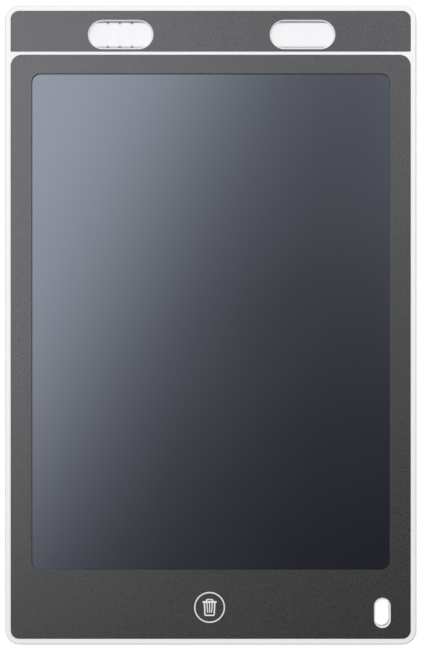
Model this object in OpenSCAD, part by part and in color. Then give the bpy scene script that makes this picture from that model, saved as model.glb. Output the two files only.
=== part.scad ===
// Pocket writing tablet: a pressure-sensitive liquid-crystal screen in a flat two-shell case, with an erase
// button, a stylus that is stored in a channel under the top strip, a lanyard slot, an erase lock on the back
// and a coin cell behind a screwed door.
// The tablet lies on its back: +Z is out of the screen, +Y is towards the stylus, and the origin is the
// centre of the rear face. Millimetres.

/* [Body] */
// Width of the tablet
body_w = 144.8; // [120:0.1:180]
// Height of the tablet, from the bottom edge to the stylus edge
body_h = 225; // [185:1:275]
// Thickness of the tablet
body_t = 6.5; // [6.4:0.1:8]
// Plan radius of the body's corners
body_r = 5; // [4.2:0.1:7]
// Thickness of both shells' side walls
wall = 1.6; // [1.4:0.1:2]
// Thickness of the rear case's floor
floor_t = 1.1; // [0.95:0.05:1.3]
// Height of the rear case, up to the parting line
parting_z = 3.2; // [2.7:0.1:3.8]
// Fillet around the rear face
rear_fillet = 2.2; // [1:0.1:2.6]
// Fillet around the front rim
rim_fillet = 0.6; // [0.3:0.1:0.8]

/* [Films] */
// Width of the white rim around the films
rim_w = 2; // [1.6:0.1:3]
// Thickness of the printed films
film_t = 0.3; // [0.2:0.05:0.4]
// How far the films lie below the rim
film_recess = 0.1; // [0:0.05:0.2]
// Height of the strip over the stylus
strip_h = 14.4; // [13:0.1:18]
// Width of the rib between the strip and the main film
divider_w = 1.05; // [0.6:0.05:2]
// Corner radius of the main film at the top
film_top_r = 4; // [2:0.5:6]
// Corner radius of the films beside the rim's own corners
film_rim_r = 3; // [2:0.5:4]
// Gap between a film and its pocket
film_gap = 0.08; // [0.05:0.01:0.15]

/* [Screen] */
// Film left of the screen, and right of it
screen_side = 7.4; // [5:0.1:12]
// Film above the screen
screen_above = 6.65; // [4:0.05:12]
// Film below the screen
screen_below = 24.3; // [22:0.1:30]
// Corner radius of the screen's window
screen_r = 3; // [1:0.5:5]
// How far the liquid-crystal sheet reaches under the film, all round
screen_margin = 2.8; // [2:0.1:3.5]
// Thickness of the liquid-crystal sheet
screen_t = 0.5; // [0.3:0.05:0.6]
// Thickness of the black backing plate
backing_t = 0.9; // [0.6:0.1:1]

/* [Stylus] */
// Width of the stylus
pen_w = 9; // [7.5:0.1:10.8]
// Gap between the stylus and each side of its channel
pen_gap = 0.25; // [0.15:0.05:0.4]
// Number of finger grooves
groove_count = 3; // [1:1:5]
// Distance between finger grooves
groove_pitch = 4.24; // [2:0.1:5]
// Distance from the body's left edge to the stylus tip
pen_tip_inset = 9; // [7:0.5:14]

/* [Stylus windows] */
// Length of a window in the film
window_len = 23.1; // [15:0.1:28]
// Height of a window in the film
window_h = 10.4; // [8:0.1:12]
// Distance between the two windows' centres
window_pitch = 64; // [50:1:76]
// How far the windows' midpoint lies right of the centre line
window_shift = 0.3; // [-1:0.1:1]
// Distance from the body's top edge to the windows' centre line
window_from_top = 10.3; // [9.5:0.1:12]
// Chamfer around the windows and the lanyard slot
opening_chamfer = 0.5; // [0.3:0.05:0.6]

/* [Erase button] */
// Diameter of the button
button_d = 10.8; // [9:0.1:13.5]
// Distance from the body's bottom edge to the button's centre
button_from_bottom = 13.1; // [11.5:0.1:15]
// Width of the white ring around the button's dark inlay
button_ring = 0.4; // [0.35:0.05:1]
// How far the button lies right of the centre line
button_x = -0.4; // [-1:0.1:1]
// Travel of the button
button_travel = 0.3; // [0.15:0.05:0.3]

/* [Lanyard slot] */
// Width of the slot through the case
slot_w = 4.9; // [4:0.1:5.6]
// Length of the slot through the case
slot_len = 9.7; // [7:0.1:11.5]
// Distance from the body's right edge to the slot's centre
slot_from_right = 12; // [9:0.1:16]
// Distance from the body's bottom edge to the slot's centre
slot_from_bottom = 11.2; // [10.5:0.1:15]

/* [Battery] */
// Diameter of the coin cell
cell_d = 20; // [16:0.1:24]
// Thickness of the coin cell
cell_t = 2.5; // [1.6:0.1:2.5]
// Length of the battery door beyond the coin cell's diameter
door_extra = 11; // [10.4:0.1:14]

/* [Hidden] */
$fn = 64;
over = 1;          // how far a cut runs past the face that it opens
touch = 0.05;      // gap between pieces that meet

white = [0.93, 0.93, 0.95];
film_grey = [0.25, 0.25, 0.26];
screen_grey = [0.30, 0.32, 0.36];
steel = [0.72, 0.72, 0.74];
brass = [0.80, 0.66, 0.36];
board_green = [0.10, 0.35, 0.20];
black = [0.06, 0.06, 0.07];

// Heights, from the front down
film_top = body_t - film_recess;
film_z = film_top - film_t;          // top of the frame's plate
plate_t = 1;
plate_z = film_z - plate_t;          // underside of the frame's plate
tape_t = 0.1;
screen_top = film_z - tape_t;
screen_z = screen_top - screen_t;
backing_z = screen_z - backing_t;
ledge_t = 0.7;
ledge_z = backing_z - ledge_t;

// Heights, from the rear up
door_recess = 0.1;                   // how far the door and the lock knob lie inside the rear face
door_ledge_t = 0.8;
cell_z = floor_t + touch;
cell_top = cell_z + cell_t;
board_z = floor_t + door_ledge_t;
board_t = 0.8;
board_top = board_z + board_t;

// The films, and the screen's window in the main one
film_w = body_w - 2 * rim_w;
strip_top = body_h / 2 - rim_w;
strip_bottom = strip_top - strip_h;
main_top = strip_bottom - divider_w;
main_bottom = rim_w - body_h / 2;
strip_foot_r = 0.5;                  // the strip's corners beside the divider
window_w = film_w - 2 * screen_side;
screen_height = main_top - main_bottom - screen_above - screen_below;
screen_y = (main_top - screen_above + main_bottom + screen_below) / 2;
sheet_w = window_w + 2 * screen_margin;
sheet_h = screen_height + 2 * screen_margin;
sheet_r = screen_r + 0.5;
sheet_gap = 0.2;
pocket_wall = 1.2;
ledge_w = 2.5;

// The stylus and its channel
pen_y = body_h / 2 - window_from_top;
pen_lift = 0.1;                      // gap under the stylus and over it
pen_z0 = floor_t + pen_lift;
pen_z1 = plate_z - pen_lift;
pen_t = pen_z1 - pen_z0;
pen_mid_z = (pen_z0 + pen_z1) / 2;
pen_edge_r = 0.8;
pen_tail_x = body_w / 2 - 0.6;
pen_tip_x = pen_tip_inset - body_w / 2;
nib_reach = 4.5;                     // how far the nib stands out of the barrel
nib_shank = 6;
nib_r = 1.2;
pen_neck_x = pen_tip_x + nib_reach;
pen_taper = 13;
pen_neck_w = 3.6;
pen_neck_t = 3.2;
pen_wall = 0.85;
plug_reach = 6;
plug_head = 1.4;
groove_w = 0.9;
groove_side = 0.35;                  // depth of a groove on the stylus's narrow sides
groove_face = 0.2;                   // depth of a groove on its broad faces
channel_w = pen_w + 2 * pen_gap;
channel_rib = 1.2;
channel_end_x = pen_tip_x - 2.5;

// The button, centred over its switch
button_y = button_from_bottom - body_h / 2;
button_gap = 0.15;
button_proud = 0.05;                 // how far the button's ring stands over the film
button_flange = 1.05;                // how far the flange reaches past the button's side
button_flange_t = 0.6;
button_stem_r = 1.6;
inlay_t = 0.2;
inlay_gap = 0.05;
ink_t = 0.04;
tact_w = 5.2;
tact_h = 0.9;
tact_plunger_r = 1.1;
tact_plunger_rise = 0.45;
tact_top = board_top + tact_h + tact_plunger_rise;

// The coin cell and its door, which turns about the round bead along its right edge
cell_x = -36;
cell_y = button_y + 4.4;
cell_gap = 0.3;
cell_ring_wall = 0.9;
cell_ring_top = cell_top - 0.25;
door_right = cell_x + cell_d / 2 + 3;
door_w = cell_d + door_extra;
door_left = door_right - door_w;
door_h = cell_d + 5;
door_r = 3;
door_gap = 0.12;
door_t = floor_t - door_recess;
bead_r = door_t / 2;
bead_x = door_right - bead_r;
bead_z = door_recess + bead_r;
door_margin = 1.2;                   // the ledge that the door seats on, round its opening
door_tab_pitch = cell_d - 4;
door_tab_w = 4;
door_tab_reach = 1.6;
door_tab_t = 0.5;
door_tab_rise = door_recess + door_t + 0.1;
screw_x = door_left + 3.5;
screw_r = 1;
screw_core_r = 0.78;
screw_pitch = 0.45;
screw_head_r = 1.65;
screw_head_t = 0.5;
screw_tip_z = floor_t + 1.9;
screw_bore_r = screw_r + 0.25;       // room for the screw to swing out with the door
boss_r = screw_bore_r + 1.1;

// The circuit board and what stands on it
board_left = door_right + 2.5;
board_right = 35;
board_low = rim_w + 1.6 - body_h / 2;
board_high = button_y + 8.4;
board_screw_at = [[-12, button_y - 6.2], [board_right - 3.5, button_y + 4.6]];
board_screw_r = 0.8;
board_boss_r = 2;
flex_x = 13.5;
flex_w = 6;
flex_t = 0.15;
flex_notch = 8;
connector_w = 8;
connector_d = 3.6;
connector_h = 1.1;
connector_back = board_high - 0.6;

// The erase lock, which slides along X
lock_x = 24;
lock_y = button_y - 1.6;
lock_travel = 2;
knob_w = 5;
knob_h = 3.2;
knob_gap = 0.15;
knob_flange_w = 10.6;
knob_flange_h = 6;
knob_flange_t = 0.5;
knob_flange_z = floor_t + touch;
knob_ridges = 3;
lever_w = 1.2;
lever_head_w = 1.9;
lock_dish_depth = 0.4;
lock_housing_w = 7;
lock_housing_h = 3.4;
lock_housing_t = 1.4;

// The lanyard slot
slot_x = body_w / 2 - slot_from_right;
slot_y = slot_from_bottom - body_h / 2;
slot_wall = 1.2;
slot_back_chamfer = 0.35;

// ---- shapes that repeat ----

// Everything between two heights, drawn in plan
module layer(z0, z1) { translate([0, 0, z0]) linear_extrude(z1 - z0) children(); }

// Everything between two X values, drawn in a YZ section
module along_x(x0, x1) { translate([x0, 0, 0]) rotate([90, 0, 90]) linear_extrude(x1 - x0) children(); }

// Everything between two Y values, drawn in an XZ section
module along_y(y0, y1) { translate([0, y1, 0]) rotate([90, 0, 0]) linear_extrude(y1 - y0) children(); }

module at_corners(w, h) { for (x = [-1, 1], y = [-1, 1]) translate([x * w / 2, y * h / 2]) children(); }

module rounded_rect(w, h, r) {
    square([w - 2 * r, h], center = true);
    square([w, h - 2 * r], center = true);
    at_corners(w - 2 * r, h - 2 * r) circle(r);
}

// A rectangle from y0 to y1 whose top and bottom corners have their own radii
module panel(w, y0, y1, r_top, r_bottom) {
    h = y1 - y0;
    intersection() {
        translate([0, y1 - h]) rounded_rect(w, 2 * h, r_top);
        translate([0, y0 + h]) rounded_rect(w, 2 * h, r_bottom);
    }
}

// A slot shape, len long in X and w wide
module stadium(len, w) {
    square([len - w, w], center = true);
    for (s = [-1, 1]) translate([s * (len - w) / 2, 0]) circle(w / 2);
}

// A cut from z0 up to z1 in that shape, with a 45 degree chamfer at the top
module chamfered_stadium_cut(len, w, z0, z1, chamfer) {
    layer(z0, z1 + over) stadium(len, w);
    span = len - w;
    wide = chamfer + over / 2;
    for (s = [-1, 1])
        translate([s * span / 2, 0, z1 - chamfer])
            cylinder(r1 = w / 2, r2 = w / 2 + wide, h = wide);
    along_x(-span / 2, span / 2)
        polygon([[-w / 2, z1 - chamfer], [w / 2, z1 - chamfer],
                 [w / 2 + wide, z1 - chamfer + wide], [-w / 2 - wide, z1 - chamfer + wide]]);
}

// Half of a slab's edge, seen along it: a rectangle whose lower corners are rounded
module edge_profile(w, t, fillet) {
    translate([-w / 2, fillet]) square([w, t - fillet]);
    translate([fillet - w / 2, 0]) square([w - 2 * fillet, t]);
    intersection() {
        for (s = [-1, 1]) translate([s * (w / 2 - fillet), fillet]) circle(fillet);
        translate([-w / 2, 0]) square([w, t]);
    }
}

// A slab with rounded corners in plan and a fillet around its lower face
module filleted_slab(w, h, r, t, fillet) {
    along_y(r - h / 2, h / 2 - r) edge_profile(w, t, fillet);
    along_x(r - w / 2, w / 2 - r) edge_profile(h, t, fillet);
    at_corners(w - 2 * r, h - 2 * r) rotate_extrude() intersection() {
        edge_profile(2 * r, t, fillet);
        square([r + over, t + over]);
    }
}

// The body's outline, drawn in by inset
module outline(inset) { rounded_rect(body_w - 2 * inset, body_h - 2 * inset, body_r - inset); }

module main_film_shape(gap) {
    difference() {
        panel(film_w - 2 * gap, main_bottom + gap, main_top - gap, film_top_r - gap, film_rim_r - gap);
        translate([0, screen_y]) rounded_rect(window_w, screen_height, screen_r);
    }
}

module strip_shape(gap) {
    panel(film_w - 2 * gap, strip_bottom + gap, strip_top - gap, film_rim_r - gap, strip_foot_r);
}

module at_windows() { for (s = [-1, 1]) translate([window_shift + s * window_pitch / 2, pen_y]) children(); }

module at_slot() { translate([slot_x, slot_y]) rotate(90) children(); }

// The door's outline, grown by g: rounded at its free end and square at its bead
module door_shape(g) {
    translate([(door_left + door_right) / 2, cell_y]) {
        rounded_rect(door_w + 2 * g, door_h + 2 * g, door_r + g);
        translate([0, -door_h / 2 - g]) square([door_w / 2 + g, door_h + 2 * g]);
    }
}

module at_tabs() { for (s = [-1, 1]) translate([door_right, cell_y + s * door_tab_pitch / 2]) children(); }

// ---- rear case ----

module rear_case() {
    color(white) difference() {
        union() {
            rear_shell();
            pen_channel();
            battery_bay();
            support_ribs();
            board_bosses();
            knob_rails();
            layer(floor_t - touch, parting_z - touch) at_slot() stadium(slot_len + 2 * slot_wall, slot_w + 2 * slot_wall);
        }
        mirror([0, 0, 1]) at_slot() chamfered_stadium_cut(slot_len, slot_w, -parting_z, 0, slot_back_chamfer);
        pen_mouth();
        battery_opening();
        lock_opening();
        for (p = board_screw_at) translate([p[0], p[1], floor_t / 2]) cylinder(r = board_screw_r, h = board_z);
        padlock_marks();
    }
}

// The tray, with the tongue that stands inside the front frame's skirt and a shadow gap at the parting line
tongue_t = 0.75;
tongue_h = 0.8;
seam_depth = 0.3;
seam_h = 0.15;
module rear_shell() {
    difference() {
        filleted_slab(body_w, body_h, body_r, parting_z, rear_fillet);
        layer(floor_t, parting_z + over) outline(wall);
        layer(parting_z - seam_h, parting_z + over) difference() {
            outline(-over);
            outline(seam_depth);
        }
    }
    layer(parting_z - seam_h, parting_z + tongue_h) difference() {
        outline(wall - tongue_t);
        outline(wall);
    }
}

// Two ribs and an end stop, which guide the stylus
module pen_channel() {
    difference() {
        layer(floor_t - touch, plate_z - touch) intersection() {
            translate([channel_end_x - channel_rib, pen_y - channel_w / 2 - channel_rib])
                square([body_w, channel_w + 2 * channel_rib]);
            outline(wall + touch);
        }
        translate([channel_end_x, pen_y - channel_w / 2, floor_t - touch])
            cube([body_w, channel_w, body_t]);
    }
}

// The hole in the right wall through which the stylus leaves
module pen_mouth() {
    translate([body_w / 2 - wall - over, pen_y - channel_w / 2, floor_t])
        cube([wall + 2 * over, channel_w, plate_z - floor_t]);
}

// A ledge round the door's opening, a ring round the coin cell, and the boss for the door's screw
module battery_bay() {
    layer(floor_t - touch, floor_t + door_ledge_t) door_shape(door_margin);
    translate([cell_x, cell_y, floor_t]) cylinder(r = cell_d / 2 + cell_gap + cell_ring_wall, h = cell_ring_top - floor_t);
    translate([screw_x, cell_y, floor_t]) cylinder(r = boss_r, h = screw_tip_z + 0.5 - floor_t);
}

module battery_opening() {
    // the door's own place
    layer(-over, floor_t) door_shape(door_gap);
    // the coin cell's well
    translate([cell_x, cell_y, 0]) cylinder(r = cell_d / 2 + cell_gap, h = body_t);
    // the boss's bore, left blind
    translate([screw_x, cell_y, 0]) cylinder(r = screw_bore_r, h = screw_tip_z + 0.1);
    // room for the door's two tabs as they swing up
    at_tabs() translate([-1.9, -door_tab_w / 2 - 0.3, floor_t])
        cube([1.9 + door_margin + over, door_tab_w + 0.6, body_t]);
    // room for the positive contact in the ring
    translate([cell_x, cell_y - contact_w / 2 - 0.4, board_z]) cube([cell_d, contact_w + 0.8, body_t]);
}

// Ribs under the backing plate, which carry the writing hand
rib_t = 1;
rib_pitch = 32;
module support_ribs() {
    rib_end = 16;
    low = screen_y - sheet_h / 2 + rib_end;
    high = screen_y + sheet_h / 2 - 6;
    for (i = [-1:1])
        translate([i * rib_pitch - rib_t / 2, low, floor_t - touch])
            cube([rib_t, high - low, backing_z - floor_t]);
    for (y = [low + rib_t, (low + high) / 2, high - rib_t])
        translate([-rib_pitch, y - rib_t / 2, floor_t - touch]) cube([2 * rib_pitch, rib_t, backing_z - floor_t]);
}

module board_bosses() {
    for (p = board_screw_at)
        translate([p[0], p[1], floor_t - touch]) cylinder(r = board_boss_r, h = board_z - floor_t + touch);
}

// Two rails that keep the lock knob's flange in line
module knob_rails() {
    for (s = [-1, 1])
        translate([lock_x - knob_flange_w / 2, lock_y + s * (knob_flange_h / 2 + knob_gap + 0.4) - 0.4, floor_t - touch])
            cube([knob_flange_w, 0.8, knob_flange_t + 2 * touch]);
}

// The knob's slot, in a shallow dish for the fingertip
module lock_opening() {
    layer(-over, lock_dish_depth) translate([lock_x, lock_y]) stadium(15, knob_h + 3.6);
    layer(-over, floor_t + over) translate([lock_x, lock_y])
        square([knob_w + lock_travel + 2 * knob_gap, knob_h + 2 * knob_gap], center = true);
}

// Engraved marks beside the lock: an open padlock at the free end, a shut one at the locked end
mark_depth = 0.15;
module padlock_marks() {
    for (s = [-1, 1])
        layer(-over, mark_depth) translate([lock_x + s * 11, lock_y - 1]) padlock(s < 0 ? 0.9 : 0);
}

module padlock(lift) {
    square([3, 2.2], center = true);
    translate([0, 1.1 + lift]) difference() {
        circle(1.15);
        circle(0.7);
        translate([-2, -4]) square([4, 4]);
        if (lift > 0) translate([0.3, -1]) square([2, 1.6]);
    }
    for (s = lift > 0 ? [-1] : [-1, 1]) translate([s * 0.925 - 0.225, 1]) square([0.45, lift + 0.15]);
}

// ---- front frame ----

module front_frame() {
    color(white) difference() {
        union() {
            difference() {
                translate([0, 0, body_t]) mirror([0, 0, 1])
                    filleted_slab(body_w, body_h, body_r, body_t - parting_z, rim_fillet);
                layer(parting_z - over, plate_z) outline(wall);
                // the rebate that takes the rear case's tongue
                layer(parting_z - over, parting_z + tongue_h + touch) outline(wall - tongue_t - 2 * touch);
            }
            screen_seat();
            layer(parting_z + touch, plate_z + touch) at_slot()
                stadium(slot_len + 2 * slot_wall, slot_w + 2 * slot_wall);
        }
        layer(film_z, body_t + over) panel(film_w, main_bottom, main_top, film_top_r, film_rim_r);
        layer(film_z, body_t + over) strip_shape(0);
        screen_pocket();
        at_windows() chamfered_stadium_cut(window_len - 2 * opening_chamfer, window_h - 2 * opening_chamfer,
                                           plate_z - over, film_z, opening_chamfer);
        at_slot() chamfered_stadium_cut(slot_len, slot_w, parting_z - over, film_z, opening_chamfer);
        translate([button_x, button_y, plate_z - over]) cylinder(r = button_d / 2 + button_gap, h = plate_t + 2 * over);
        pen_mouth();
    }
}

// The wall and ledge that the screen and its backing plate drop into
module screen_seat() {
    layer(ledge_z, plate_z + touch) translate([0, screen_y])
        rounded_rect(sheet_w + 2 * (sheet_gap + pocket_wall), sheet_h + 2 * (sheet_gap + pocket_wall),
                     sheet_r + sheet_gap + pocket_wall);
}

module screen_pocket() {
    layer(backing_z, film_z + touch) translate([0, screen_y])
        rounded_rect(sheet_w + 2 * sheet_gap, sheet_h + 2 * sheet_gap, sheet_r + sheet_gap);
    layer(ledge_z - over, film_z) translate([0, screen_y])
        rounded_rect(sheet_w + 2 * (sheet_gap - ledge_w), sheet_h + 2 * (sheet_gap - ledge_w), sheet_r);
    // the notch that lets the screen's flex down past the ledge
    translate([flex_x - flex_notch / 2, screen_y - sheet_h / 2 - sheet_gap, ledge_z - over])
        cube([flex_notch, ledge_w + over, ledge_t + 2 * over]);
}

// ---- films and screen ----

module main_film() {
    color(film_grey) layer(film_z, film_top) difference() {
        main_film_shape(film_gap);
        translate([button_x, button_y]) circle(button_d / 2 + button_gap);
        at_slot() stadium(slot_len + 2 * opening_chamfer, slot_w + 2 * opening_chamfer);
    }
}

module strip_film() {
    color(film_grey) layer(film_z, film_top) difference() {
        strip_shape(film_gap);
        at_windows() stadium(window_len, window_h);
    }
}

module sheet_shape(inset) {
    translate([0, screen_y]) rounded_rect(sheet_w - 2 * inset, sheet_h - 2 * inset, sheet_r - inset);
}

module screen_tape() {
    color(black) layer(screen_top, film_z) difference() {
        sheet_shape(0);
        sheet_shape(screen_margin - 0.2);
    }
}

module writing_screen() { color(screen_grey) layer(screen_z, screen_top) sheet_shape(0); }

// The plate is notched where the flex is bonded to the back of the screen
flex_bond = 2.4;
module backing_plate() {
    color(black) layer(backing_z, screen_z) difference() {
        sheet_shape(0);
        translate([flex_x - flex_notch / 2, screen_y - sheet_h / 2 - over]) square([flex_notch, flex_bond + 0.2 + over]);
    }
}

// A flat cable from the back of the screen, down past the ledge and into its connector
module screen_flex() {
    edge = screen_y - sheet_h / 2;
    low_z = board_top + connector_h / 2;
    color(brass) along_x(flex_x - flex_w / 2, flex_x + flex_w / 2) {
        translate([edge, screen_z - flex_t]) square([flex_bond, flex_t]);
        translate([edge, low_z - flex_t]) square([flex_t, screen_z - low_z + flex_t]);
        translate([connector_back - 1.5, low_z - flex_t]) square([edge + flex_t - connector_back + 1.5, flex_t]);
    }
}

// ---- erase button ----

button_top = film_top + button_proud;
module button_cap() {
    flange_top = plate_z - touch;
    color(white) translate([button_x, button_y, 0]) difference() {
        union() {
            translate([0, 0, flange_top - button_flange_t]) cylinder(r = button_d / 2, h = button_top - flange_top + button_flange_t);
            translate([0, 0, flange_top - button_flange_t]) cylinder(r = button_d / 2 + button_flange, h = button_flange_t);
            translate([0, 0, tact_top]) cylinder(r = button_stem_r, h = flange_top - tact_top);
        }
        translate([0, 0, film_top - inlay_t]) cylinder(r = button_d / 2 - button_ring, h = over);
    }
}

module button_inlay() {
    color(film_grey) translate([button_x, button_y, film_top - inlay_t])
        cylinder(r = button_d / 2 - button_ring - inlay_gap, h = inlay_t);
}

// The printed waste bin on the inlay: a lid with a handle, a tapered can and three ribs
module button_icon() {
    lid = [1.64, 2.29];
    size = button_d / 11.1;
    color("white") layer(film_top, film_top + ink_t) translate([button_x, button_y]) scale([size, size]) {
        translate([-2.55, lid[0]]) square([5.1, lid[1] - lid[0]]);
        // handle
        difference() {
            polygon([[-1.4, lid[0] + 0.2], [-1.4, 2.6], [-1.05, 3.05], [1.05, 3.05], [1.4, 2.6], [1.4, lid[0] + 0.2]]);
            polygon([[-0.9, lid[0]], [-0.9, 2.45], [-0.8, 2.6], [0.8, 2.6], [0.9, 2.45], [0.9, lid[0]]]);
        }
        // can
        difference() {
            polygon([[-2.16, lid[1] - 0.2], [-1.9, -2.72], [-1.5, -3.1], [1.5, -3.1], [1.9, -2.72], [2.16, lid[1] - 0.2]]);
            polygon([[-1.64, lid[1]], [-1.42, -2.48], [-1.28, -2.62], [1.28, -2.62], [1.42, -2.48], [1.64, lid[1]]]);
        }
        for (s = [-1:1]) {
            foot = s * 0.7;
            head = s * 0.98;
            polygon([[head - 0.19, lid[0] + 0.2], [foot - 0.19, -1.93], [foot + 0.19, -1.93], [head + 0.19, lid[0] + 0.2]]);
        }
    }
}

module tact_switch_housing() {
    color(black) translate([button_x, button_y, board_top]) difference() {
        translate([-tact_w / 2, -tact_w / 2, 0]) cube([tact_w, tact_w, tact_h]);
        translate([0, 0, 0.2]) cylinder(r = tact_plunger_r + 0.1, h = tact_h);
    }
}

module tact_switch_plunger() {
    bottom = board_top + 0.2 + button_travel + touch;
    color([0.85, 0.85, 0.80]) translate([button_x, button_y, bottom]) cylinder(r = tact_plunger_r, h = tact_top - bottom);
}

// ---- circuit board ----

module circuit_board() {
    color(board_green) layer(board_z, board_top) difference() {
        translate([board_left, board_low]) square([board_right - board_left, board_high - board_low]);
        for (p = board_screw_at) translate(p) circle(board_screw_r + 0.15);
        translate([lock_x, lock_y]) square([lever_w + lock_travel + 0.6, lever_w + 0.4], center = true);
    }
}

module board_screws() {
    color(steel) for (p = board_screw_at) translate([p[0], p[1], 0]) difference() {
        union() {
            translate([0, 0, floor_t / 2 + 0.1]) cylinder(r = board_screw_r - 0.02, h = board_top - floor_t / 2);
            translate([0, 0, board_top]) cylinder(r = 1.5, h = 0.7);
        }
        cross_recess(board_top + 0.35);
    }
}

// A cross recess, open upwards from z
module cross_recess(z) {
    for (a = [0, 90]) translate([0, 0, z + over / 2]) rotate(a) cube([1.7, 0.42, over], center = true);
}

module flex_connector() {
    low_z = board_top + connector_h / 2;
    color([0.90, 0.88, 0.80]) difference() {
        translate([flex_x - connector_w / 2, connector_back - connector_d, board_top])
            cube([connector_w, connector_d, connector_h]);
        translate([flex_x - flex_w / 2 - 0.1, connector_back - 1.6, low_z - flex_t - touch])
            cube([flex_w + 0.2, connector_d, flex_t + 2 * touch]);
    }
}

module driver_chip() {
    color(black) translate([6.4, button_y - 7.2, board_top]) cube([4.9, 3.9, 1.1]);
}

module boost_inductor() {
    color([0.30, 0.30, 0.32]) translate([15, button_y - 5.6, board_top]) {
        layer(0, 1.2) square([3, 3], center = true);
        layer(1.2, 1.4) circle(1.1);
    }
}

module chip_capacitors() {
    color([0.62, 0.50, 0.36]) for (p = [[-8, 2], [-8, 4], [5.5, 3], [5.5, 5]])
        translate([p[0], button_y + p[1], board_top]) cube([1.6, 0.8, 0.8]);
}

// ---- erase lock, drawn at its free end ----

lock_free_x = lock_x - lock_travel / 2;
lever_bottom = knob_flange_z + 0.1;
module lock_switch_housing() {
    color(steel) difference() {
        translate([lock_x - lock_housing_w / 2, lock_y - lock_housing_h / 2, board_top])
            cube([lock_housing_w, lock_housing_h, lock_housing_t]);
        translate([lock_x, lock_y, board_top]) cube([lever_head_w + lock_travel + 0.3, lever_w + 0.3, 1.5], center = true);
    }
}

module lock_switch_lever() {
    color(black) translate([lock_free_x, lock_y, 0]) {
        translate([-lever_w / 2, -lever_w / 2, lever_bottom]) cube([lever_w, lever_w, board_top - lever_bottom + 0.3]);
        translate([-lever_head_w / 2, -lever_w / 2, board_top + touch]) cube([lever_head_w, lever_w, 0.6]);
    }
}

module lock_knob() {
    ridge_pitch = knob_w / knob_ridges;
    color(white) translate([lock_free_x, lock_y, 0]) difference() {
        union() {
            translate([-knob_flange_w / 2, -knob_flange_h / 2, knob_flange_z]) cube([knob_flange_w, knob_flange_h, knob_flange_t]);
            translate([-knob_w / 2, -knob_h / 2, door_recess]) cube([knob_w, knob_h, knob_flange_z - door_recess + touch]);
        }
        translate([-lever_w / 2, -lever_w / 2, lever_bottom]) cube([lever_w, lever_w, over]);
        // the finger grip's valleys
        for (i = [1:knob_ridges - 1])
            translate([i * ridge_pitch - knob_w / 2 - 0.35, -knob_h, door_recess - over]) cube([0.7, 2 * knob_h, over + 0.3]);
    }
}

// ---- coin cell: can, gasket, cap and the stack of electrodes inside ----

can_t = 0.25;
cap_r = cell_d / 2 - 1.1;
module at_cell() { translate([cell_x, cell_y, cell_z]) children(); }

module coin_cell_can() {
    color(steel) at_cell() difference() {
        cylinder(r = cell_d / 2, h = cell_t - 0.3);
        translate([0, 0, can_t]) cylinder(r = cell_d / 2 - can_t, h = cell_t - 0.3 - 2 * can_t);
        cylinder_above(cap_r + 0.45, cell_t - 0.3 - 2 * can_t);
    }
}

module coin_cell_gasket() {
    color([0.25, 0.30, 0.40]) at_cell() difference() {
        translate([0, 0, can_t]) cylinder(r = cell_d / 2 - can_t, h = cell_t - 0.3 - 2 * can_t);
        cylinder_above(cap_r, 0);
    }
}

module coin_cell_cap() {
    color(steel) at_cell() translate([0, 0, can_t + 0.1]) difference() {
        cylinder(r = cap_r, h = cell_t - can_t - 0.1);
        translate([0, 0, -can_t]) cylinder(r = cap_r - can_t, h = cell_t - can_t - 0.1);
    }
}

module coin_cell_core() {
    color(black) at_cell() translate([0, 0, can_t]) cylinder(r = cap_r - can_t - touch, h = cell_t - 2 * can_t - touch);
}

// A cut of radius r, from z up
module cylinder_above(r, z) { translate([0, 0, z]) cylinder(r = r, h = body_t); }

// ---- battery contacts ----

contact_t = 0.2;
contact_w = 4;

// A clip on the board's edge that bears on the can's side
module positive_contact() {
    can_x = cell_x + cell_d / 2 + touch;
    color(brass) along_y(cell_y - contact_w / 2, cell_y + contact_w / 2) {
        translate([can_x, board_z + 0.1]) square([contact_t, 1.6]);
        translate([can_x, board_top]) square([board_left + 2.5 - can_x, contact_t]);
    }
}

// A leaf from the board that reaches over the cap
module negative_contact() {
    riser_x = board_left + 1.2;
    y0 = cell_y - contact_w / 2 - contact_w - 1;
    color(brass) along_y(y0, y0 + contact_w) {
        translate([riser_x, board_top]) square([2.4, contact_t]);
        translate([riser_x, board_top]) square([contact_t, cell_top + contact_t - board_top]);
        translate([cell_x + 2, cell_top]) square([riser_x + contact_t - cell_x - 2, contact_t]);
    }
}

// ---- battery door and its screw ----

module battery_door() {
    color(white) difference() {
        union() {
            difference() {
                layer(door_recess, floor_t) door_shape(0);
                translate([bead_x, cell_y - door_h, 0]) cube([2 * bead_r, 2 * door_h, body_t]);
            }
            along_y(cell_y - door_h / 2, cell_y + door_h / 2) translate([bead_x, bead_z]) circle(bead_r);
            at_tabs() {
                translate([-0.8, -door_tab_w / 2, bead_z])
                    cube([0.8, door_tab_w, door_tab_rise + door_tab_t - bead_z]);
                translate([-touch, -door_tab_w / 2, door_tab_rise])
                    cube([door_tab_reach + touch, door_tab_w, door_tab_t]);
            }
        }
        // the screw's hole, and the counterbore for its head
        translate([screw_x, cell_y, -over]) cylinder(r = screw_r + 0.1, h = 2 * body_t);
        translate([screw_x, cell_y, -over]) cylinder(r = screw_head_r + 0.15, h = over + door_recess + touch + screw_head_t);
        // finger grooves across the door's free end
        for (i = [0:3])
            translate([door_left + 8 + 1.4 * i, cell_y - 4, -over]) cube([0.6, 8, over + door_recess + 0.25]);
    }
}

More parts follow.
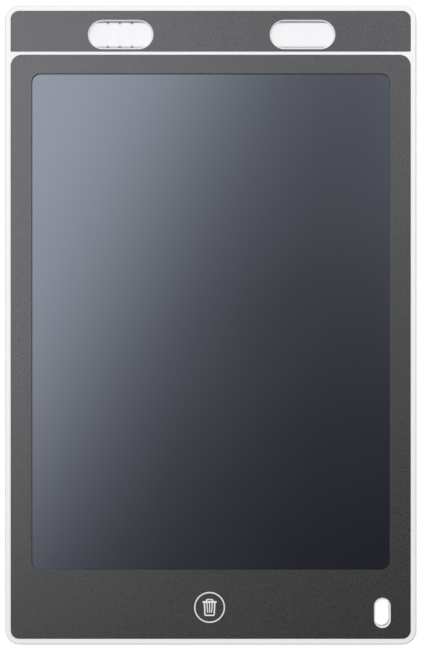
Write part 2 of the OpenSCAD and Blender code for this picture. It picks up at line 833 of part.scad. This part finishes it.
module battery_door_screw() {
    head_z = door_recess + touch;
    shank_z = head_z + screw_head_t;
    threads = floor((screw_tip_z - floor_t - 0.4) / screw_pitch);
    color(steel) translate([screw_x, cell_y, 0]) difference() {
        union() {
            translate([0, 0, head_z]) cylinder(r = screw_head_r, h = screw_head_t);
            translate([0, 0, shank_z]) cylinder(r = screw_core_r, h = screw_tip_z - 0.3 - shank_z);
            translate([0, 0, screw_tip_z - 0.3]) cylinder(r1 = screw_core_r, r2 = 0.4, h = 0.3);
            for (i = [0:threads - 1])
                translate([0, 0, floor_t + 0.1 + i * screw_pitch]) {
                    cylinder(r1 = screw_core_r, r2 = screw_r, h = screw_pitch / 3);
                    translate([0, 0, screw_pitch / 3]) cylinder(r1 = screw_r, r2 = screw_core_r, h = screw_pitch / 3);
                }
        }
        mirror([0, 0, 1]) cross_recess(-head_z - 0.3);
    }
}

// ---- stylus ----

// The stylus's section, drawn in by its own inset on the narrow sides and on the broad faces
module pen_section(inset_side, inset_face) {
    w = pen_w - 2 * inset_side;
    t = pen_t - 2 * inset_face;
    translate([pen_y, pen_mid_z]) rounded_rect(w, t, min(pen_edge_r, t / 2 - 0.1, w / 2 - 0.1));
}

module stylus_barrel() {
    end_x = pen_tail_x - plug_head;
    shoulder_x = pen_neck_x + pen_taper;
    color(white) difference() {
        intersection() {
            along_x(pen_neck_x, end_x) pen_section(0, 0);
            // the taper in plan
            layer(0, body_t) translate([0, pen_y]) polygon([
                [pen_neck_x, -pen_neck_w / 2], [shoulder_x, -pen_w / 2], [end_x + over, -pen_w / 2],
                [end_x + over, pen_w / 2], [shoulder_x, pen_w / 2], [pen_neck_x, pen_neck_w / 2]]);
            // the taper in thickness
            along_y(pen_y - pen_w, pen_y + pen_w) translate([0, pen_mid_z]) polygon([
                [pen_neck_x, -pen_neck_t / 2], [shoulder_x, -pen_t / 2], [end_x + over, -pen_t / 2],
                [end_x + over, pen_t / 2], [shoulder_x, pen_t / 2], [pen_neck_x, pen_neck_t / 2]]);
        }
        // the hollow, open at the tail
        along_x(shoulder_x + 2, end_x + over) pen_section(pen_wall, pen_wall);
        // the nib's socket
        translate([pen_neck_x - over, pen_y, pen_mid_z]) rotate([0, 90, 0]) cylinder(r = nib_r + 0.02, h = nib_shank + over);
        finger_grooves();
    }
}

// Grooves round the barrel, in the middle of the left window
module finger_grooves() {
    for (i = [0:groove_count - 1]) {
        x = (i - (groove_count - 1) / 2) * groove_pitch - window_pitch / 2;
        difference() {
            translate([x - groove_w / 2, pen_y - pen_w, 0]) cube([groove_w, 2 * pen_w, body_t]);
            along_x(x - groove_w, x + groove_w) pen_section(groove_side, groove_face);
        }
    }
}

module stylus_nib() {
    ball_r = 0.75;
    collar_r = 1.5;
    color([0.90, 0.90, 0.88]) translate([pen_tip_x, pen_y, pen_mid_z]) rotate([0, 90, 0]) {
        translate([0, 0, ball_r]) sphere(ball_r);
        translate([0, 0, ball_r]) cylinder(r1 = ball_r, r2 = collar_r, h = nib_reach - ball_r - 0.8);
        translate([0, 0, nib_reach - 0.8]) cylinder(r = collar_r, h = 0.8);
        translate([0, 0, nib_reach - 0.1]) cylinder(r = nib_r, h = nib_shank);
    }
}

module stylus_tail_plug() {
    end_x = pen_tail_x - plug_head;
    color(white) {
        along_x(end_x, pen_tail_x) pen_section(0, 0);
        along_x(end_x - plug_reach, end_x + touch) pen_section(pen_wall + 0.03, pen_wall + 0.03);
    }
}

rear_case();
front_frame();
main_film();
strip_film();
screen_tape();
writing_screen();
backing_plate();
screen_flex();
button_cap();
button_inlay();
button_icon();
tact_switch_housing();
tact_switch_plunger();
circuit_board();
board_screws();
flex_connector();
driver_chip();
boost_inductor();
chip_capacitors();
lock_switch_housing();
lock_switch_lever();
lock_knob();
coin_cell_can();
coin_cell_gasket();
coin_cell_cap();
coin_cell_core();
positive_contact();
negative_contact();
battery_door();
battery_door_screw();
stylus_barrel();
stylus_nib();
stylus_tail_plug();
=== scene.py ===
import math

import bmesh
import bpy
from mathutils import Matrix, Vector


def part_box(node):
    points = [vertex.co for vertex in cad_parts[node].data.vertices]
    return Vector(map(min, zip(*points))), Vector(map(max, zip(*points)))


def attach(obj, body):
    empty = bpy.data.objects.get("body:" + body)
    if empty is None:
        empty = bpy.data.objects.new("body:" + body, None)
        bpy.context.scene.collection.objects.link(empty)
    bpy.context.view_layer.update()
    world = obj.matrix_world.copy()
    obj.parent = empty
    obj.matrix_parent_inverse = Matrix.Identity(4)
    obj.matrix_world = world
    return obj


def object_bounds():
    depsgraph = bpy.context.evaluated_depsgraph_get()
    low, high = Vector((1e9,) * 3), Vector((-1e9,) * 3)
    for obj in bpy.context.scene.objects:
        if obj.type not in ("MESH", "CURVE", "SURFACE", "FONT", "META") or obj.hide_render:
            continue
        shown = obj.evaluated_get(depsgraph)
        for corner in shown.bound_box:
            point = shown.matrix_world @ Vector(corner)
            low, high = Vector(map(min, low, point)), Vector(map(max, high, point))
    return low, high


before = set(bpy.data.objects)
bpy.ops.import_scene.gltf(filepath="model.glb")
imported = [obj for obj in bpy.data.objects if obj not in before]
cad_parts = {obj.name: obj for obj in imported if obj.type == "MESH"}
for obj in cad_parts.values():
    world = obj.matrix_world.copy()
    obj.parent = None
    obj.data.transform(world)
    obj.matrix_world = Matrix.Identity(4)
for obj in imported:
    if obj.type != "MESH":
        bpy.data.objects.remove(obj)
cad_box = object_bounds()


# ---- Rear case ----
# The tray that lies on the table: white ABS, moulded in one shot, with a fine spark-eroded texture outside.
# The front frame's skirt drops over its tongue, and a shadow gap shows between the two.

MM = 0.001


class Wire:
    """A socket's value, on which sums can be written."""

    def __init__(self, graph, socket):
        self.graph = graph
        self.socket = socket

    def _sum(self, operation, first, second):
        return self.graph.node("ShaderNodeMath", {"operation": operation}, {0: first, 1: second})

    def __add__(self, other):
        return self._sum("ADD", self, other)

    def __sub__(self, other):
        return self._sum("SUBTRACT", self, other)

    def __rsub__(self, other):
        return self._sum("SUBTRACT", other, self)

    def __mul__(self, other):
        return self._sum("MULTIPLY", self, other)

    def __truediv__(self, other):
        return self._sum("DIVIDE", self, other)

    def __abs__(self):
        return self._sum("ABSOLUTE", self, 0.0)

    __radd__ = __add__
    __rmul__ = __mul__

    def above(self, edge, soft):
        """0 below the edge and 1 above it, with a soft step between."""
        return self.graph.node(
            "ShaderNodeMapRange",
            {"interpolation_type": "SMOOTHSTEP"},
            {"Value": self, "From Min": edge - soft, "From Max": edge + soft},
        )


class Graph:
    """A node tree, and the one way in which nodes are added to it and linked."""

    def __init__(self, tree):
        self.tree = tree

    def node(self, kind, settings, inputs, output=0):
        made = self.tree.nodes.new(kind)
        for name, value in settings.items():
            if name == "stops":
                ramp = made.color_ramp.elements
                while len(ramp) < len(value):
                    ramp.new(0.5)
                for stop, (position, colour) in zip(ramp, value):
                    stop.position, stop.color = position, (*colour, 1)
            else:
                setattr(made, name, value)
        for name, value in inputs.items():
            if isinstance(value, Wire):
                self.tree.links.new(value.socket, made.inputs[name])
            else:
                made.inputs[name].default_value = value
        return Wire(self, made.outputs[output])

    def link(self, wire, node, socket):
        self.tree.links.new(wire.socket, self.tree.nodes[node].inputs[socket])


class Finish(Graph):
    """A surface finish: one Principled shader and the nodes that vary it."""

    def __init__(self, name, **constants):
        self.material = bpy.data.materials.new(name)
        self.material.use_nodes = True
        super().__init__(self.material.node_tree)
        self.shader = self.tree.nodes["Principled BSDF"]
        for socket, value in constants.items():
            self.shader.inputs[socket.replace("_", " ")].default_value = value
        self.place = self.node("ShaderNodeTexCoord", {}, {}, "Object")

    def feed(self, socket, wire):
        self.link(wire, "Principled BSDF", socket)

    def noise(self, size, detail=2.0, rough=0.5, stretch=(1, 1, 1)):
        """Cloudy noise whose lumps are about size metres across, drawn out by stretch."""
        squeeze = [1 / s for s in stretch]
        spot = self.node("ShaderNodeMapping", {}, {"Vector": self.place, "Scale": squeeze})
        sockets = {"Vector": spot, "Scale": 1 / size, "Detail": detail, "Roughness": rough}
        return self.node("ShaderNodeTexNoise", {}, sockets)

    def along(self, axis):
        """How far along X, Y or Z a point is, in metres."""
        return self.node("ShaderNodeSeparateXYZ", {}, {"Vector": self.place}, axis)

    def tint(self, share, first, second):
        """From the first colour to the second as share goes from 0 to 1."""
        sockets = {0: share, 6: [*first, 1], 7: [*second, 1]}
        return self.node("ShaderNodeMix", {"data_type": "RGBA"}, sockets, 2)

    def relief(self, height, depth, edge):
        """Feeds the normal with a bump of that depth in metres, over edges broken to that radius."""
        broken = self.node("ShaderNodeBevel", {"samples": 6}, {"Radius": edge})
        bump = self.node("ShaderNodeBump", {}, {"Height": height, "Distance": depth, "Normal": broken})
        self.feed("Normal", bump)


def dress(finish, *nodes):
    """Puts a finish on whole CAD nodes."""
    for name in nodes:
        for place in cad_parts[name].material_slots:
            place.material = finish.material


def moulded(name, colour, shade, roughness, grain_size, grain_depth, edge):
    """Moulded plastic: a fine grain, slow changes of gloss and of shade, and edges broken by the tool."""
    finish = Finish(name, IOR=1.5)
    cloud = finish.noise(28 * MM, 3)
    grain = finish.noise(grain_size, 3, 0.6)
    finish.feed("Base Color", finish.tint(cloud * 0.8, colour, shade))
    finish.feed("Roughness", roughness - 0.05 + cloud * 0.07 + grain * 0.05)
    finish.relief(grain, grain_depth, edge)
    return finish


def handled(finish, roughness, high):
    """Rubs the texture glossier in patches on the outer edge that hands and pockets touch."""
    side = abs(finish.along("X")).above(high.x - 1.6 * MM, 1.2 * MM)
    end = abs(finish.along("Y")).above(high.y - 1.6 * MM, 1.2 * MM)
    rubbed = finish.node("ShaderNodeMath", {"operation": "MAXIMUM"}, {0: side, 1: end})
    patches = finish.noise(14 * MM, 4, 0.65)
    finish.feed("Roughness", roughness + patches * 0.08 - rubbed * patches * 0.18)


case_white = (0.925, 0.918, 0.93)
case_shade = (0.905, 0.9, 0.915)
rear_roughness = 0.46
rear_finish = moulded(
    "white_abs_textured", case_white, case_shade, rear_roughness, 0.42 * MM, 0.014 * MM, 0.25 * MM
)
handled(rear_finish, rear_roughness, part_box("rear_case")[1])
dress(rear_finish, "rear_case")


# ---- Circuit board ----
# One small glass-fibre board with a green solder mask, held on two bosses by pan-head screws.
# It carries the erase switch, the lock switch, the driver and the charge pump's parts, all reflow soldered.

board_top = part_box("circuit_board")[1].z
board_finish = Finish("green_solder_mask", IOR=1.52, Coat_Weight=0.3, Coat_Roughness=0.12)
weave = board_finish.noise(0.5 * MM, 1)
tracks_per_metre = 420.0
tracks = board_finish.node(
    "ShaderNodeTexVoronoi",
    {"feature": "DISTANCE_TO_EDGE"},
    {"Vector": board_finish.place, "Scale": tracks_per_metre, "Randomness": 0.75},
)
copper = 1 - tracks.above(0.085, 0.02)
board_finish.feed("Base Color", board_finish.tint(copper, (0.012, 0.075, 0.032), (0.03, 0.17, 0.07)))
board_finish.feed("Roughness", 0.32 + weave * 0.12)
board_finish.relief(copper + weave * 0.3, 0.02 * MM, 0.05 * MM)
dress(board_finish, "circuit_board")

screw_finish = Finish("nickel_plated_steel", Metallic=1.0, IOR=2.5)
turning = screw_finish.noise(0.12 * MM, 3, 0.6, (1, 1, 6))
smear = screw_finish.noise(1.4 * MM, 3)
screw_finish.feed("Base Color", screw_finish.tint(smear, (0.66, 0.65, 0.63), (0.5, 0.49, 0.48)))
screw_finish.feed("Roughness", 0.22 + turning * 0.16)
screw_finish.relief(turning, 0.004 * MM, 0.12 * MM)
dress(screw_finish, "board_screws", "battery_door_screw")

solder_finish = Finish("solder", Metallic=1.0)
flow = solder_finish.noise(0.3 * MM, 2)
solder_finish.feed("Base Color", solder_finish.tint(flow, (0.72, 0.72, 0.73), (0.55, 0.55, 0.57)))
solder_finish.feed("Roughness", 0.25 + flow * 0.2)
solder_finish.relief(flow, 0.01 * MM, 0.03 * MM)


def new_piece(name, mesh_maker, finish, body):
    """Makes an object from bmesh code, and lets it ride on a body."""
    mesh = bpy.data.meshes.new(name)
    shape = bmesh.new()
    mesh_maker(shape)
    bmesh.ops.recalc_face_normals(shape, faces=shape.faces)
    shape.to_mesh(mesh)
    shape.free()
    piece = bpy.data.objects.new(name, mesh)
    bpy.context.scene.collection.objects.link(piece)
    mesh.materials.append(finish.material)
    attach(piece, body)


def ring_of(shape, points):
    return [shape.verts.new(point) for point in points]


def skin(shape, rings):
    """Joins each closed ring of points to the next with quads."""
    for one, two in zip(rings, rings[1:]):
        count = len(one)
        for k in range(count):
            shape.faces.new((one[k], one[(k + 1) % count], two[(k + 1) % count], two[k]))


def add_strip(shape, path, half, thick, root):
    """A bent metal strip: path is its centre line from root, and half is half its width, as a vector."""
    rings = []
    for i, point in enumerate(path):
        run = path[min(i + 1, len(path) - 1)] - path[max(i - 1, 0)]
        rise = run.cross(half).normalized() * thick / 2
        corners = (-half - rise, half - rise, half + rise, rise - half)
        rings.append(ring_of(shape, (root + point + corner for corner in corners)))
    skin(shape, rings)
    shape.faces.new(rings[0])
    shape.faces.new(rings[-1][::-1])


def gull_wing(out, height, reach):
    """A lead's centre line: it leaves its package level, bends down, and lands flat on the board."""
    up = Vector((0, 0, 1))
    knee, foot = reach * 0.35, reach * 0.55
    return [
        up * height - out * 0.1 * MM,
        up * height + out * knee * 0.8,
        up * (height - 0.08 * MM) + out * knee,
        up * 0.16 * MM + out * foot,
        up * 0.08 * MM + out * (foot + 0.12 * MM),
        up * 0.08 * MM + out * reach,
    ]


def add_fillet(shape, centre, radius, height):
    """A small cone of solder that has wetted up to a lead."""
    around = [2 * math.pi * k / 12 for k in range(12)]
    rings = []
    for share, rise in ((1.0, 0.0), (0.72, 0.22), (0.45, 0.6), (0.2, 0.95), (0.05, 1.0)):
        wide = radius * share
        spots = (Vector((math.cos(turn) * wide, math.sin(turn) * wide, rise * height)) for turn in around)
        rings.append(ring_of(shape, (centre + spot for spot in spots)))
    skin(shape, rings)
    shape.faces.new(rings[0][::-1])
    shape.faces.new(rings[-1])


def solder_on(name, node, sides, count, pitch, width, reach, rise):
    """Rows of leads on the named sides of a soldered package, and the solder at each lead's foot."""
    low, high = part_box(node)
    middle = (low + high) / 2
    lead_thick, solder_height = 0.12 * MM, 0.16 * MM
    roots = []
    for out in map(Vector, sides):
        along = Vector((0, 0, 1)).cross(out)
        face = abs(out.x) * (high.x - low.x) / 2 + abs(out.y) * (high.y - low.y) / 2
        for i in range(count):
            step = (i - (count - 1) / 2) * pitch
            roots.append((Vector((middle.x, middle.y, board_top)) + out * face + along * step, out, along))

    def leads(shape):
        for root, out, along in roots:
            add_strip(shape, gull_wing(out, rise, reach), along * width / 2, lead_thick, root)

    def joints(shape):
        for root, out, _ in roots:
            add_fillet(shape, root + out * reach, width * 0.75, solder_height)

    new_piece(name + "_leads", leads, screw_finish, "case")
    new_piece(name + "_solder", joints, solder_finish, "case")


chip_finish = moulded(
    "moulded_epoxy", (0.018, 0.018, 0.02), (0.028, 0.028, 0.03), 0.55, 0.16 * MM, 0.008 * MM, 0.1 * MM
)
dress(chip_finish, "driver_chip")
both_ends = [(1, 0, 0), (-1, 0, 0)]
both_flanks = [(0, 1, 0), (0, -1, 0)]
solder_on("driver_chip", "driver_chip", both_flanks, 4, 1.27 * MM, 0.4 * MM, 1.0 * MM, 0.55 * MM)

ferrite_finish = moulded(
    "sintered_ferrite", (0.05, 0.05, 0.054), (0.085, 0.08, 0.08), 0.62, 0.1 * MM, 0.01 * MM, 0.15 * MM
)
dress(ferrite_finish, "boost_inductor")
solder_on("boost_inductor", "boost_inductor", both_ends, 1, 1.0 * MM, 1.6 * MM, 0.5 * MM, 0.4 * MM)

ceramic_finish = moulded(
    "fired_ceramic", (0.36, 0.25, 0.15), (0.3, 0.2, 0.12), 0.5, 0.12 * MM, 0.006 * MM, 0.06 * MM
)
dress(ceramic_finish, "chip_capacitors")


# ---- Erase switch, lock switch and cable connector ----
# Stock parts: a dome switch with a nylon plunger under the button, and a slide switch in a folded steel shell
# whose lever reaches down through the board to the knob on the back. The connector takes the screen's cable.

black_finish = moulded(
    "black_nylon", (0.016, 0.016, 0.017), (0.025, 0.025, 0.027), 0.5, 0.2 * MM, 0.008 * MM, 0.1 * MM
)
dress(black_finish, "tact_switch_housing", "lock_switch_lever")
ivory_finish = moulded(
    "ivory_nylon", (0.72, 0.68, 0.56), (0.66, 0.62, 0.5), 0.48, 0.2 * MM, 0.006 * MM, 0.1 * MM
)
dress(ivory_finish, "tact_switch_plunger", "flex_connector")
dress(screw_finish, "lock_switch_housing")
solder_on("tact_switch", "tact_switch_housing", both_ends, 2, 3.7 * MM, 0.6 * MM, 0.9 * MM, 0.35 * MM)
solder_on("lock_switch", "lock_switch_housing", [(0, 1, 0)], 3, 2.0 * MM, 0.5 * MM, 0.8 * MM, 0.3 * MM)
solder_on("flex_connector", "flex_connector", [(0, -1, 0)], 6, 1.0 * MM, 0.3 * MM, 0.7 * MM, 0.35 * MM)


# ---- Battery contacts and coin cell ----
# Spring brass blades, stamped and bent, reach from the board's edge to the cell's side and over its cap.
# The cell is a drawn steel can, crimped over a gasket and cap.

brass_finish = Finish("spring_brass", Metallic=1.0)
rolled = brass_finish.noise(0.2 * MM, 3, 0.6, (1, 8, 1))
tarnish = brass_finish.noise(2.2 * MM, 3)
brass_finish.feed("Base Color", brass_finish.tint(tarnish, (0.76, 0.56, 0.25), (0.58, 0.4, 0.18)))
brass_finish.feed("Roughness", 0.2 + rolled * 0.2)
brass_finish.relief(rolled, 0.003 * MM, 0.05 * MM)
dress(brass_finish, "positive_contact", "negative_contact")

cell_finish = Finish("drawn_steel_can", Metallic=1.0)
drawn = cell_finish.noise(0.25 * MM, 3, 0.6)
finger = cell_finish.noise(5 * MM, 4, 0.6)
cell_finish.feed("Base Color", cell_finish.tint(finger, (0.7, 0.69, 0.67), (0.6, 0.59, 0.57)))
cell_finish.feed("Roughness", 0.18 + finger * 0.12 + drawn * 0.08)
cell_finish.relief(drawn, 0.003 * MM, 0.3 * MM)
dress(cell_finish, "coin_cell_can", "coin_cell_cap")
gasket_finish = moulded(
    "polypropylene_gasket", (0.07, 0.1, 0.17), (0.09, 0.12, 0.2), 0.45, 0.3 * MM, 0.004 * MM, 0.05 * MM
)
dress(gasket_finish, "coin_cell_gasket")
dress(chip_finish, "coin_cell_core")


def stamped_plus(shape):
    """The polarity cross on the can's flat side, with its edges drawn in."""
    low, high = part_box("coin_cell_can")
    arm, half, stand, draft = 3.2 * MM, 0.55 * MM, 0.03 * MM, 0.97
    quarter = [(half, half), (arm, half), (arm, -half)]
    outline = []
    for _ in range(4):
        outline += quarter
        quarter = [(y, -x) for x, y in quarter]
    centre = Vector(((low.x + high.x) / 2, (low.y + high.y) / 2, low.z))
    base = ring_of(shape, (centre + Vector((x, y, 0)) for x, y in outline))
    face = ring_of(shape, (centre + Vector((x * draft, y * draft, -stand)) for x, y in outline))
    skin(shape, [base, face])
    shape.faces.new(base)
    shape.faces.new(face[::-1])


new_piece("coin_cell_plus", stamped_plus, cell_finish, "coin_cell")


# ---- Battery door and lock knob ----
# Both are moulded with the case's own ABS. The door hooks under the case by its two tabs and turns on its
# round bead, and the knob's ridges stand in a shallow dish.

door_finish = moulded("white_abs_door", case_white, case_shade, 0.44, 0.42 * MM, 0.014 * MM, 0.2 * MM)
dress(door_finish, "battery_door")
knob_finish = moulded(
    "white_abs_knob", (0.88, 0.88, 0.885), case_shade, 0.38, 0.3 * MM, 0.006 * MM, 0.2 * MM
)
dress(knob_finish, "lock_knob")


# ---- Stylus ----
# A flat hollow barrel in gloss ABS with three grooves for the fingertip, a pressed-in acetal nib and a tail
# plug. It slides in a channel under the strip and shows through the two windows.

pen_finish = moulded(
    "white_abs_stylus", (0.92, 0.92, 0.93), (0.9, 0.9, 0.915), 0.34, 0.5 * MM, 0.004 * MM, 0.03 * MM
)
dress(pen_finish, "stylus_barrel", "stylus_tail_plug")
nib_finish = moulded(
    "white_acetal", (0.8, 0.8, 0.78), (0.74, 0.74, 0.72), 0.34, 0.4 * MM, 0.003 * MM, 0.2 * MM
)
dress(nib_finish, "stylus_nib")


# ---- Front frame ----
# The white rim, the rib between the two films, and the plate under them, moulded in one with the skirt.
# It is the same ABS as the rear case, with a finer texture.

rim_roughness = 0.4
rim_finish = moulded(
    "white_abs_fine", case_white, case_shade, rim_roughness, 0.34 * MM, 0.008 * MM, 0.12 * MM
)
handled(rim_finish, rim_roughness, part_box("front_frame")[1])
dress(rim_finish, "front_frame")


# ---- Screen ----
# The writing sheet is two clear films with liquid crystal between them, blank and dark, with a faint blue
# cast. A black backing plate lies under it, and a ring of adhesive tape bonds its edge to the film above.
# A thin black strip inside the film's cut edge, widest at the top and left, is painted shadow.

sheet_finish = Finish("blank_liquid_crystal", IOR=1.74, Specular_Tint=(0.762, 0.829, 1, 1))
domains = sheet_finish.noise(0.7 * MM, 4, 0.65)
drift = sheet_finish.noise(45 * MM, 2)
sheet_colour = sheet_finish.tint(
    domains * 0.5 + drift * 0.4, (0.0022, 0.003, 0.0056), (0.0034, 0.0044, 0.0076)
)
sheet_finish.feed("Base Color", sheet_colour)
sheet_finish.feed("Roughness", 0.185 + domains * 0.05 + drift * 0.02)
sheet_finish.relief(domains, 0.0006 * MM, 0.05 * MM)
dress(sheet_finish, "writing_screen")
dress(black_finish, "backing_plate")


def corner_loop(half_x, low_y, high_y, radius):
    """The points of a rectangle with round corners, running round it once."""
    left, right, bottom, top = radius - half_x, half_x - radius, low_y + radius, high_y - radius
    points = []
    for x, y, start in ((right, top, 0), (left, top, 90), (left, bottom, 180), (right, bottom, 270)):
        for k in range(9):
            turn = math.radians(start + 90 * k / 8)
            points.append((x + radius * math.cos(turn), y + radius * math.sin(turn)))
    return points


def painted_shadow_line(shape):
    """Painted shadow: a black strip inside the film's cut edge, widest at top and left, where the edge
    shades.
    """
    low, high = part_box("writing_screen")
    under_film = 2.8 * MM
    shadow_lean = 0.08 * MM
    side, floor = high.x - under_film, high.z
    bottom, top = low.y + under_film, high.y - under_film
    outer = corner_loop(side + 0.2 * MM, bottom - 0.2 * MM, top + 0.2 * MM, 3.1 * MM)
    inner = corner_loop(side - 0.13 * MM, bottom + 0.06 * MM, top - 0.26 * MM, 2.85 * MM)
    inner = [(x + shadow_lean, y) for x, y in inner]
    section = ((outer, 0.0), (outer, 0.09 * MM), (inner, 0.035 * MM), (inner, 0.0))
    rings = [ring_of(shape, ((x, y, floor + height) for x, y in loop)) for loop, height in section]
    skin(shape, rings + rings[:1])


# Black tape, whose finish also colours the strip of painted shadow just inside the film's cut edge.
tape_and_shadow_finish = moulded(
    "adhesive_tape_and_painted_shadow", (0.006, 0.006, 0.007), (0.01, 0.01, 0.011), 0.72, 0.3 * MM, 0.01 * MM, 0.02 * MM
)
dress(tape_and_shadow_finish, "screen_tape")
# Painted shadow: a black strip where the film's edge shades the screen, widest at the top and left.
new_piece("screen_edge_painted_shadow", painted_shadow_line, tape_and_shadow_finish, "case")

flex_finish = Finish("polyimide_flex", IOR=1.6)
lane_width = 0.5 * MM
to_and_fro = {0: flex_finish.along("X"), 1: lane_width}
across = flex_finish.node("ShaderNodeMath", {"operation": "PINGPONG"}, to_and_fro)
lane = (across / lane_width).above(0.5, 0.08)
flex_finish.feed("Base Color", flex_finish.tint(lane, (0.36, 0.15, 0.02), (0.6, 0.32, 0.08)))
flex_finish.feed("Roughness", 0.3 + lane * 0.1)
flex_finish.relief(lane, 0.01 * MM, 0.02 * MM)
dress(flex_finish, "screen_flex")


# ---- Films ----
# Polycarbonate film, printed dark grey on its underside and die cut, lies in the frame's pockets on its own
# adhesive. One strip covers the stylus, and one borders the screen.

film_finish = Finish("printed_polycarbonate", IOR=1.52, Specular_Tint=(0.935, 0.935, 1, 1))
velvet = film_finish.noise(0.5 * MM, 2, 0.5)
print_drift = film_finish.noise(60 * MM, 2)
speck = velvet.above(0.5, 0.16)
film_colour = film_finish.tint(
    speck * 0.8 + print_drift * 0.2, (0.0165, 0.0168, 0.0162), (0.041, 0.0415, 0.04)
)
film_finish.feed("Base Color", film_colour)
film_finish.feed("Roughness", 0.25 + velvet * 0.07 + print_drift * 0.02)
film_finish.relief(velvet, 0.05 * MM, 0.14 * MM)
dress(film_finish, "main_film", "strip_film", "button_inlay")


# ---- Erase button ----
# A round white cap that stands a hair over the film, with a dark film inlay and a waste bin printed on it in
# white ink.

button_finish = moulded(
    "white_abs_button", (0.94, 0.94, 0.945), (0.92, 0.92, 0.925), 0.36, 0.4 * MM, 0.005 * MM, 0.05 * MM
)
dress(button_finish, "button_cap")
ink_finish = Finish("white_ink")
opacity = ink_finish.noise(0.15 * MM, 3, 0.7)
ink_finish.feed("Base Color", ink_finish.tint(opacity, (0.9, 0.9, 0.91), (0.8, 0.8, 0.81)))
ink_finish.feed("Roughness", 0.5 + opacity * 0.12)
ink_finish.relief(opacity, 0.004 * MM, 0.02 * MM)
dress(ink_finish, "button_icon")


# ---- Table, lights and camera ----
# A plain white table that is seen through from below, so that the back can be looked at. Two level softboxes
# hang overhead, with a weak one high at the left and one under the table, and the camera looks straight down.

table_finish = Finish("white_table", IOR=1.45, Roughness=0.9, Emission_Strength=0.5)
table_finish.shader.inputs["Base Color"].default_value = (0.9, 0.9, 0.9, 1)
table_finish.shader.inputs["Emission Color"].default_value = (1, 1, 1, 1)
white_top = Wire(table_finish, table_finish.shader.outputs[0])
clear = table_finish.node("ShaderNodeBsdfTransparent", {}, {})
underside = table_finish.node("ShaderNodeNewGeometry", {}, {}, "Backfacing")
seen = table_finish.node("ShaderNodeMixShader", {}, {0: underside, 1: white_top, 2: clear})
table_finish.link(seen, "Material Output", "Surface")

half_table = 12.0
corners = [(x * half_table, y * half_table, 0) for x, y in ((-1, -1), (1, -1), (1, 1), (-1, 1))]
table_mesh = bpy.data.meshes.new("table_top")
table_mesh.from_pydata(corners, [], [(0, 1, 2, 3)])
table_mesh.materials.append(table_finish.material)
table_top = bpy.data.objects.new("table_top", table_mesh)
table_top.location.z = cad_box[0].z - 0.05 * MM
table_top.visible_shadow = table_top.visible_diffuse = table_top.visible_glossy = False
bpy.context.scene.collection.objects.link(table_top)


def soft_panel(name, centre, size, turn, radiance, colour=(1, 1, 1), tip=0.0):
    """A softbox, level at centre and facing down, tipped and then turned about the vertical, in degrees."""
    lamp = bpy.data.lights.new(name, "AREA")
    lamp.shape = "RECTANGLE"
    lamp.size, lamp.size_y = size
    lamp.energy = radiance * math.pi * size[0] * size[1]
    lamp.color = colour
    holder = bpy.data.objects.new(name, lamp)
    holder.location = centre
    holder.rotation_euler = (math.radians(tip), 0, math.radians(turn))
    holder.visible_camera = False
    bpy.context.scene.collection.objects.link(holder)


soft_panel("panel_left", (-0.224, 0.151, 1.2), (0.342, 0.693), -24.7, 6.6)
soft_panel("panel_right", (0.492, 0.335, 1.2), (0.546, 0.546), 0.0, 5.56)
soft_panel("high_left", (-0.75, 0.9, 1.0), (0.6, 0.6), 39.8, 1.3, (1, 0.97, 0.94), -49.5)
soft_panel("from_below", (-0.5, -0.6, -0.9), (0.8, 0.8), -39.8, 2.7, tip=138)

world = bpy.data.worlds.new("room")
world.use_nodes = True
bpy.context.scene.world = world
room = Graph(world.node_tree)
direction = room.node("ShaderNodeTexCoord", {}, {}, "Generated")
height = room.node("ShaderNodeSeparateXYZ", {}, {"Vector": direction}, "Z")
wall_greys = ((0.0, 0.3), (0.02, 0.4), (0.2, 0.72), (0.6, 0.66), (0.95, 0.06))
cool = (0.965, 0.97, 1)
wall_stops = [(rise, [grey * share for share in cool]) for rise, grey in wall_greys]
walls = room.node("ShaderNodeValToRGB", {"stops": wall_stops}, {"Fac": height})
towards_window = {0: direction, 1: (-0.26, 0.2, 0)}
window_light = room.node("ShaderNodeVectorMath", {"operation": "DOT_PRODUCT"}, towards_window, "Value")
room.link(walls, "Background", "Color")
room.link(0.84 + window_light, "Background", "Strength")

eye_height = 0.9
view_height = 0.22866
camera_data = bpy.data.cameras.new("camera")
camera_data.sensor_width = 36.0
camera_data.lens = camera_data.sensor_width * (eye_height - cad_box[1].z) / view_height
camera_data.clip_start, camera_data.clip_end = 0.01, 50
camera = bpy.data.objects.new("camera", camera_data)
camera.location = (0.1 * MM, -0.04 * MM, eye_height)
bpy.context.scene.collection.objects.link(camera)
bpy.context.scene.camera = camera
bpy.context.scene.view_settings.view_transform = "Standard"
